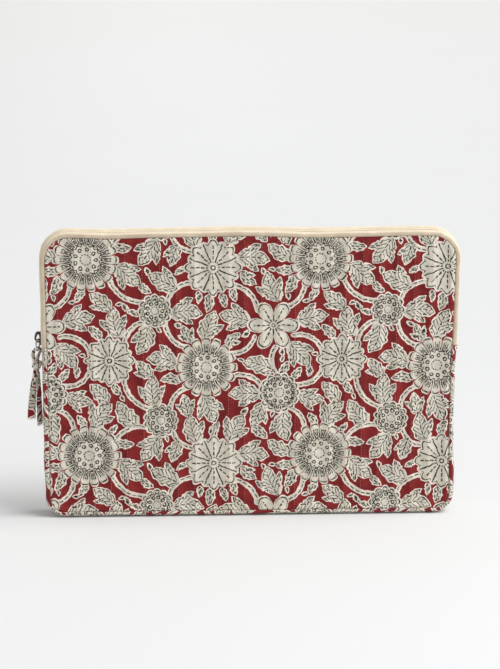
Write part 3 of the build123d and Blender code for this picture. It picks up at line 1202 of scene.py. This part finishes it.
def make_coil(name, side, material):
    """One row of the zip: a flattened spiral of nylon wire whose turns mesh with the other's."""
    line = upper_line(ROW_END_Z, 0.4)
    per_turn = 14
    turns = int(line[-1, 4] / COIL_PITCH) - 1
    count = turns * per_turn
    place = (np.arange(count) / per_turn + (0.5 if side > 0 else 0.25)) * COIL_PITCH
    angle = TAU * np.arange(count) / per_turn
    rows, out, way = along_line(line, place)
    depth = COIL_OUT + COIL_HALF_H * np.sin(angle)
    y = side * (COIL_Y - COIL_HALF_W * np.cos(angle))
    points = np.column_stack([rows[:, 0] + out[:, 0] * depth, y, rows[:, 1] + out[:, 2] * depth])
    tangent = unit(np.gradient(points, axis=0))
    first = unit(np.cross(tangent, way))
    second = np.cross(tangent, first)
    head = 1 + 0.25 * np.clip(np.cos(angle), 0, 1)
    return tube(name, swept(points, first, second, WIRE_R * head, WIRE_R * head, 6), material)


def make_lining(name, side, seed, material):
    """The smooth cloth on the inner side of a panel, dimpled by the quilting."""
    x, z = panel_grid(6, 4.2)
    dimple = 0.3 * crown(x) * (1 + 0.3 * ripples(x, z, 30, seed))
    rim = np.clip(edge_distance(x, z) / 12 - 0.5, 0, 1)
    outer = np.stack([x, np.full_like(x, side * 11.6), z], axis=-1)
    inner = np.stack([x, side * (10.85 - rim * dimple), z], axis=-1)
    piece = shell(name, outer, inner, material)
    cloth = np.column_stack([x.ravel(), z.ravel()])
    mark_cloth(piece, np.vstack([cloth, cloth]))
    return piece


def make_band_lining(material):
    """The lining of the band."""
    line = lower_line(ZIP_END_Z - 0.2, 3.0)
    outer = np.column_stack([np.full(14, -3.5), np.linspace(-10.6, 10.6, 14)])
    inner = np.column_stack([np.full(14, -4.15), np.linspace(10.6, -10.6, 14)])
    section = np.vstack([outer, inner])
    piece = tube("band_lining", on_line(line, section), material)
    mark_cloth(piece, pairs(line[:, 4, None], section[None, :, 1]))
    settle(piece, "lining_cotton", "sleeve", "gusset_lining")


def make_binding(name, side, material):
    """Folded tape over the raw edges inside the seam."""
    line = whole_line(2.4)[:-1]
    angles = TAU * (np.arange(16) + 0.5) / 16
    c, s = boxy(angles, 0.5)
    section = np.column_stack([-7.5 + 2.45 * c, side * (10.4 + 0.38 * s)])
    rings = on_line(line, section)
    along = line[:, 4, None]
    rings[..., 1] += side * 0.05 * ripples(along, section[None, :, 0], 6, 91)
    piece = tube(name, rings, material, closed=True)
    mark_cloth(piece, pairs(along, section[None, :, 0]))
    return piece


# ---- The pull: a strip of the printed cloth, doubled through the ring and knotted --------
# Middle line X, Y, Z, then the turn of its face from +X in degrees, half width, half thickness
STRIP_LINE = [
    (-201.2, -1.0, 92.5, 78, 3.7, 0.45), (-200.9, -0.6, 100, 74, 3.65, 0.50),
    (-200.0, 0.2, 111, 66, 3.5, 0.55), (-198.8, 0.6, 122, 60, 3.1, 0.60),
    (-197.4, 0.2, 131, 55, 2.3, 0.80), (-196.6, -0.2, 137, 50, 1.5, 1.0),
    (-196.6, 0, 142, 45, 1.5, 1.0), (-197.8, 0, 147.5, 40, 1.9, 0.85),
    (-198.4, 0.2, 151.5, 33, 2.6, 0.70), (-197.7, 0, 155.0, 27, 2.8, 0.55),
    (-196.3, 0, 157.6, 16, 2.5, 0.45), (-194.3, 0, 158.3, 16, 2.5, 0.45),
    (-192.15, 0, 156.9, 16, 2.5, 0.45), (-192.5, -0.1, 153.6, 27, 2.8, 0.55),
    (-194.2, -0.2, 150.3, 33, 2.6, 0.70), (-195.0, -0.3, 146.5, 42, 1.9, 0.85),
    (-195.0, -0.2, 142, 50, 1.4, 1.0), (-195.2, 0.4, 137, 45, 1.4, 1.0),
    (-194.8, 0.9, 130, 38, 2.2, 0.80), (-194.4, 1.0, 120, 35, 3.0, 0.60),
    (-194.4, 0.8, 108, 40, 3.4, 0.55), (-194.2, 0.6, 96, 35, 3.4, 0.50),
    (-194.1, 0.4, 86, 38, 3.2, 0.45),
]
KNOT_MIDDLE = (-195.6, 0, 141.2)
PULL_AXIS = (-194.2, 155.8)  # X and Z of the ring's lower bar


def make_strip(material):
    """The strip itself, from one frayed end to the other."""
    rows = smooth_curve(STRIP_LINE, 10)
    points = rows[:, :3]
    turn = np.radians(rows[:, 3])
    across = np.column_stack([np.sin(turn), np.cos(turn), np.zeros(len(rows))])
    tangent = unit(np.gradient(points, axis=0))
    up = unit(np.cross(tangent, across))
    sides = 20
    rings = swept(points, across, up, rows[:, 4], rows[:, 5], sides, 0.55)
    place = np.cos(TAU * (np.arange(sides) + 0.5) / sides)
    along = section_length(points)[:, None]
    curl = 0.5 * place[None] ** 2 + 0.22 * np.sin(place[None] * 4.2 + along / 9)
    curl = curl + 0.18 * ripples(along, place[None] * 3, 6, 51)
    from_bar = np.hypot(points[:, 0] - PULL_AXIS[0], points[:, 2] - PULL_AXIS[1])
    curl = curl * np.clip(from_bar / 8 - 0.3, 0.1, 1)[:, None]
    rings = rings + up[:, None] * curl[..., None]
    piece = tube("pull_strip_cloth", rings, material)
    print_cloth(piece, pairs(place[None] * rows[:, 4, None] + 76, along + 26))
    settle(piece, "printed_cotton", "fabric_pull", "pull_strip")
    return points, across


def make_knot(material):
    """The knot: the strip wrapped round itself, one turn over the other."""
    t = np.linspace(0, 1, 60)
    angle = TAU * (0.62 + 1.7 * t)
    reach = 2.2 + 1.5 * t
    x, y, z = KNOT_MIDDLE
    points = np.column_stack([
        x + reach * np.cos(angle) * 1.12,
        y + reach * np.sin(angle) * 0.95,
        z - 1.5 + 3.0 * t + 0.7 * np.sin(angle + 0.6),
    ])
    tangent = unit(np.gradient(points, axis=0))
    tilt = np.column_stack([0.25 * np.cos(angle), 0.25 * np.sin(angle), np.ones(len(t))])
    up = unit(np.cross(tangent, tilt))
    across = np.cross(up, tangent)
    half_width = 2.5 - 0.7 * np.abs(2 * t - 1) ** 3 + 0.25 * np.sin(9 * t)
    sides = 18
    rings = swept(points, across, up, half_width, 0.85, sides, 0.7)
    place = np.cos(TAU * (np.arange(sides) + 0.5) / sides)[None]
    along = section_length(points)[:, None]
    creases = 0.28 * np.sin(place * 5 + along * 0.5) + 0.2 * ripples(along, place * 3, 4, 61)
    rings = rings + up[:, None] * creases[..., None]
    piece = tube("pull_knot_cloth", rings, material)
    print_cloth(piece, pairs(place * 2.5 + 76, along + 86))
    settle(piece, "printed_cotton", "fabric_pull", "pull_knot")


def make_fringe(points, across, material):
    """Loose threads at the strip's two cut ends."""
    rng = np.random.default_rng(71)
    tubes = []
    around = TAU * np.arange(4) / 4
    for end, side, half_width in ((points[0], across[0], 3.6), (points[-1], across[-1], 3.1)):
        for place in np.linspace(-1, 1, 17):
            length = rng.uniform(1.0, 2.6)
            lean = rng.uniform(-0.35, 0.35, 2)
            t = np.array([-0.2, 0.2, 0.6, 1.0])[:, None]
            middle = end + side * place * half_width + t * length * np.array([lean[0], lean[1], -1])
            middle[:, 0] += 0.25 * np.sin(t[:, 0] * 5 + rng.uniform(0, TAU))
            girth = np.array([0.16, 0.15, 0.12, 0.05])[:, None, None]
            ring = np.column_stack([np.cos(around), np.sin(around), np.zeros(4)])
            tubes.append(middle[:, None] + girth * ring)
    piece = many_tubes("pull_fringe", np.array(tubes), material)
    settle(piece, "printed_cotton", "fabric_pull")


def make_end_tabs(material):
    """Folded cloth tabs that cover the ends of the zip, inside."""
    z = np.linspace(150.2, 158.8, 9)
    tubes = []
    for side in (-1, 1):
        bow = 0.12 * np.sin((z - 150) * 0.7)
        points = np.column_stack([side * (185.35 + bow * 0.5), np.zeros(9), z])
        across = np.tile([0, 1.0, 0], (9, 1))
        up = np.tile([1.0, 0, 0], (9, 1))
        rounding = 7.8 - 0.6 * np.abs((z - 154.5) / 4.3) ** 6
        tubes.append(swept(points, across, up, rounding, 0.34, 24, 0.5))
    tubes = np.array(tubes)
    piece = many_tubes("zip_end_tab_cloth", tubes, material)
    mark_cloth(piece, tubes[..., 1:].reshape(-1, 2))
    settle(piece, "binding_cotton", "sleeve", "zip_end_tabs")


# X, Z and half thickness round the bridge
BAIL_LOOP = [
    (-192.0, 163.8, 0.62), (-193.8, 163.4, 0.70), (-195.4, 163.9, 0.76), (-196.0, 165.6, 0.82),
    (-195.95, 167.6, 0.90), (-195.4, 169.7, 1.15), (-194.3, 171.3, 1.40), (-192.9, 171.6, 1.40),
    (-191.95, 170.2, 1.00), (-191.75, 167.5, 0.70), (-191.75, 165.4, 0.60),
]


def make_bail(material):
    """The slider's bridge: a stout loop, thick at the top, that the ring hangs in."""
    shape = np.array(BAIL_LOOP + BAIL_LOOP[:3])
    curve = smooth_curve(shape, 5)[5:-5]
    points = np.column_stack([curve[:, 0], np.zeros(len(curve)), curve[:, 1]])[:-1]
    tangent = loop_tangent(points)
    across = np.tile([0, 1.0, 0], (len(points), 1))
    rings = swept(points, across, np.cross(tangent, across), 1.25, curve[:-1, 2], 16, 0.6)
    piece = tube("slider_bridge", rings, material, closed=True)
    settle(piece, "zip_metal", "zip_slider", "zip_slider_bail")


RING_MIDDLE = (-194.2, 160.55)
RING_HALF = (4.0, 4.75)
RING_WIRE = 0.85
RING_TURN = math.radians(16)


def make_ring(material):
    """The ring that joins the slider to the pull, turned a little out of the sleeve's line."""
    corners = [
        (-1, -0.72), (-1, 0.72), (-0.72, 1), (0.72, 1),
        (1, 0.72), (1, -0.72), (0.72, -1), (-0.72, -1),
    ]
    half_w, half_h = RING_HALF
    curve = smooth_curve(np.array(corners + corners[:3]) * [half_w, half_h], 6)[6:-6][:-1]
    x, z = RING_MIDDLE
    side = np.array([math.sin(RING_TURN), math.cos(RING_TURN), 0])
    points = np.array([x, 0, z]) + curve[:, :1] * side + curve[:, 1:] * np.array([0, 0, 1.0])
    tangent = loop_tangent(points)
    face = np.tile(np.cross(side, [0, 0, 1.0]), (len(points), 1))
    rings = swept(points, face, np.cross(tangent, face), RING_WIRE, RING_WIRE, 14)
    piece = tube("pull_ring_wire", rings, material, closed=True)
    settle(piece, "ring_metal", "pull_ring", "zip_pull_ring")


def settle(piece, slot, body, *nodes):
    """Hides the CAD nodes that a piece stands for and hangs it on the body that it rides on. slot is
    not used.
    """
    if nodes:
        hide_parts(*nodes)
    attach(piece, body)


def finish_metal(name, material, edge):
    """Gives a CAD part its metal and softens its edges."""
    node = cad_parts[name]
    for material_slot in node.material_slots:
        material_slot.material = material
    bevel = node.modifiers.new("soft edges", "BEVEL")
    bevel.width = edge * MM
    bevel.segments = 3
    bevel.limit_method = "ANGLE"


# ---- Studio ----------------------------------------------------------------------------
CAMERA_DISTANCE = 1.6
CAMERA_RISE = math.radians(12)
CAMERA_TURN = math.radians(-2.5)
VIEW_HEIGHT = 0.6165  # metres of the scene that the picture's height takes in
AIM_OVER_MIDDLE = 0.0354
SENSOR = 36.0


FLOOR_LIGHT = (0.785, 0.795, 0.80, 1)
FLOOR_DARK = (0.77, 0.78, 0.785, 1)
FLOOR_FAR = (0.785, 0.785, 0.775, 1)
# Painted shade: the floor and backdrop are darker towards the left.
FLOOR_LEFT_PAINTED_SHADE = (0.645, 0.645, 0.64, 1)
SUN_STRENGTH = 2.35
SUN_SOFTNESS = 40
SUN_FROM = (0.95, -0.32, 1.6)
SKY_STRENGTH = 0.44
SIDE_POWER = 2.4
SIDE_PLACE = (0.9, -0.55, 0.5)
SIDE_AIM_Z = 0.13


def make_camera():
    data = bpy.data.cameras.new("camera")
    camera = add_object("camera", data)
    data.sensor_width = SENSOR
    data.lens = SENSOR * CAMERA_DISTANCE / VIEW_HEIGHT
    data.shift_y = AIM_OVER_MIDDLE / VIEW_HEIGHT
    level = math.cos(CAMERA_RISE)
    x, y = math.sin(CAMERA_TURN) * level, -math.cos(CAMERA_TURN) * level
    back = np.array([x, y, math.sin(CAMERA_RISE)])
    camera.location = np.array([0, 0, TOP_Z * MM / 2]) + back * CAMERA_DISTANCE
    camera.rotation_euler = (TAU / 4 - CAMERA_RISE, 0, CAMERA_TURN)
    bpy.context.scene.camera = camera


def make_floor():
    """A pale floor that is flat under the sleeve and rises far away into a backdrop, with painted
    shade that darkens it towards the left.
    """
    radii = np.concatenate([[0.02], np.geomspace(0.1, 3, 14), np.linspace(3.4, 12, 24)]) / MM
    angles = TAU * np.arange(96) / 96
    height = 0.00006 * np.maximum(radii - 3000, 0) ** 2
    x = radii[:, None] * np.cos(angles)
    y = radii[:, None] * np.sin(angles)
    z = np.broadcast_to(height[:, None], x.shape)
    finish = Finish("studio_floor", 0.8, Specular_IOR_Level=0.1)
    place = finish.object_place()
    parts = finish.tree.nodes.new("ShaderNodeSeparateXYZ")
    finish.link(place, parts, 0)
    near = finish.mix(FLOOR_DARK, FLOOR_LIGHT, finish.noise(place, 2.0, 1.0))
    far = finish.mix(near, FLOOR_FAR, finish.soft_step(finish.out(parts, 2), 0.0, 0.8))
    # Painted shade: darker towards the left, where less light falls.
    left = finish.mix(FLOOR_LEFT_PAINTED_SHADE, far, finish.soft_step(finish.out(parts, 0), -2.0, 0.1))
    finish.colour(left)
    index = np.arange(x.size).reshape(x.shape)
    index = np.hstack([index, index[:, :1]])
    points = np.stack([x, y, z], axis=-1).reshape(-1, 3)
    mesh = bpy.data.meshes.new("studio_floor")
    faces = grid_quads(index)[:, ::-1].tolist() + [index[0, :-1].tolist()]
    mesh.from_pydata((points * MM).tolist(), [], faces)
    mesh.polygons.foreach_set("use_smooth", [True] * len(mesh.polygons))
    mesh.materials.append(finish.material)
    add_object("studio_floor", mesh)


def facing(x, y, z):
    """The turn of a light that shines along the line from x, y, z to the origin."""
    return math.atan2(math.hypot(x, y), z), 0, math.atan2(x, -y)


def make_lights():
    """A large soft light from the upper right, a small one at the side and an even sky."""
    data = bpy.data.lights.new("key", "SUN")
    data.energy = SUN_STRENGTH
    data.angle = math.radians(SUN_SOFTNESS)
    data.color = (1.0, 0.992, 0.982)
    key = add_object("key", data)
    key.rotation_euler = facing(*SUN_FROM)
    data = bpy.data.lights.new("side", "AREA")
    data.energy = SIDE_POWER
    data.size = 0.5
    side = add_object("side", data)
    side.location = SIDE_PLACE
    x, y, z = SIDE_PLACE
    side.rotation_euler = facing(x, y, z - SIDE_AIM_Z)
    world = bpy.data.worlds.new("studio")
    world.use_nodes = True
    sky = world.node_tree.nodes["Background"]
    sky.inputs["Color"].default_value = (1, 1, 1, 1)
    sky.inputs["Strength"].default_value = SKY_STRENGTH
    bpy.context.scene.world = world
    bpy.context.scene.view_settings.view_transform = "Standard"


# ---- The sleeve ------------------------------------------------------------------------
def bend_with_mouth(piece, *nodes):
    """For a front piece: hides the CAD nodes that it stands for and bakes its placement into its
    mesh.
    """
    if nodes:
        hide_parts(*nodes)
    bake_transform(piece)


def build():
    cotton = printed_cotton()
    lining = plain_cotton("lining_cotton", srgb(226, 217, 198), srgb(200, 189, 166), 0.7, 0.0001)
    # Painted shade for the tape's front face, below its lit ridge.
    tape_face_painted_shade = (srgb(222, 206, 184), srgb(196, 178, 154))
    tape = plain_cotton(
        "zip_tape_cotton", srgb(250, 236, 212), srgb(230, 214, 188), 0.8, 0.00014, tape_face_painted_shade
    )
    binding = plain_cotton("binding_cotton", srgb(228, 216, 192), srgb(198, 184, 156), 0.9, 0.0001)
    coil = nylon_coil()
    quilting = thread("quilting_thread", srgb(196, 140, 130), srgb(150, 88, 84))
    sewing = thread("sewing_thread", srgb(238, 228, 204), srgb(206, 190, 158))
    fray = thread("loose_cotton", srgb(232, 214, 188), srgb(176, 120, 104))
    dark_metal = worn_metal("slider_metal", srgb(88, 84, 78), srgb(46, 43, 40), 0.36, 0.00004)
    bright_metal = worn_metal("ring_metal", srgb(236, 234, 230), srgb(180, 178, 174), 0.2, 0.00002)

    front, x, y, z = make_panel("front_panel", -1, 11, cotton)
    bend_with_mouth(
        front,
        "front_cover_lower", "front_cover_upper", "front_padding_lower", "front_padding_upper",
        "front_panel_fold",
    )
    piece = make_quilting("front_quilting", -1, x, y, z, 21, quilting)
    bend_with_mouth(piece)

    back, x, y, z = make_panel("back_panel", 1, 12, cotton)
    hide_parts("back_cover", "back_padding")
    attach(back, "sleeve")
    piece = make_quilting("back_quilting", 1, x, y, z, 22, quilting)
    settle(piece, "printed_cotton", "sleeve")

    make_band(cotton)
    make_band_lining(lining)
    make_end_tabs(binding)

    piece = make_tape("front_zip_tape", -1, -0.35, 41, tape)
    bend_with_mouth(piece, "zip_tape_front", "zip_tape_front_fold", "zip_tape_front_ends")
    piece = make_tape("back_zip_tape", 1, 0.1, 43, tape)
    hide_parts("zip_tape_back")
    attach(piece, "sleeve")
    piece = make_coil("front_zip_coil", -1, coil)
    bend_with_mouth(piece, "zip_row_front", "zip_row_front_fold", "zip_row_front_ends")
    piece = make_coil("back_zip_coil", 1, coil)
    settle(piece, "zip_row", "sleeve", "zip_row_back")
    piece = make_tape_stitches("front_tape_stitches", -1, sewing)
    bend_with_mouth(piece)
    piece = make_tape_stitches("back_tape_stitches", 1, sewing)
    settle(piece, "zip_tape", "sleeve")

    piece = make_lining("front_lining", -1, 81, lining)
    bend_with_mouth(piece, "front_lining_lower", "front_lining_upper")
    piece = make_lining("back_lining_cloth", 1, 82, lining)
    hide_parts("back_lining")
    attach(piece, "sleeve")
    piece = make_binding("front_binding", -1, binding)
    bend_with_mouth(piece, "binding_front_lower", "binding_front_upper")
    piece = make_binding("back_binding", 1, binding)
    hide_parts("binding_back")
    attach(piece, "sleeve")

    points, across = make_strip(cotton)
    make_fringe(points, across, fray)
    make_knot(cotton)

    finish_metal("zip_slider", dark_metal, 0.25)
    make_bail(dark_metal)
    finish_metal("zip_stop_left", dark_metal, 0.2)
    finish_metal("zip_stop_right", dark_metal, 0.2)
    make_ring(bright_metal)


build()
make_floor()
make_lights()
make_camera()
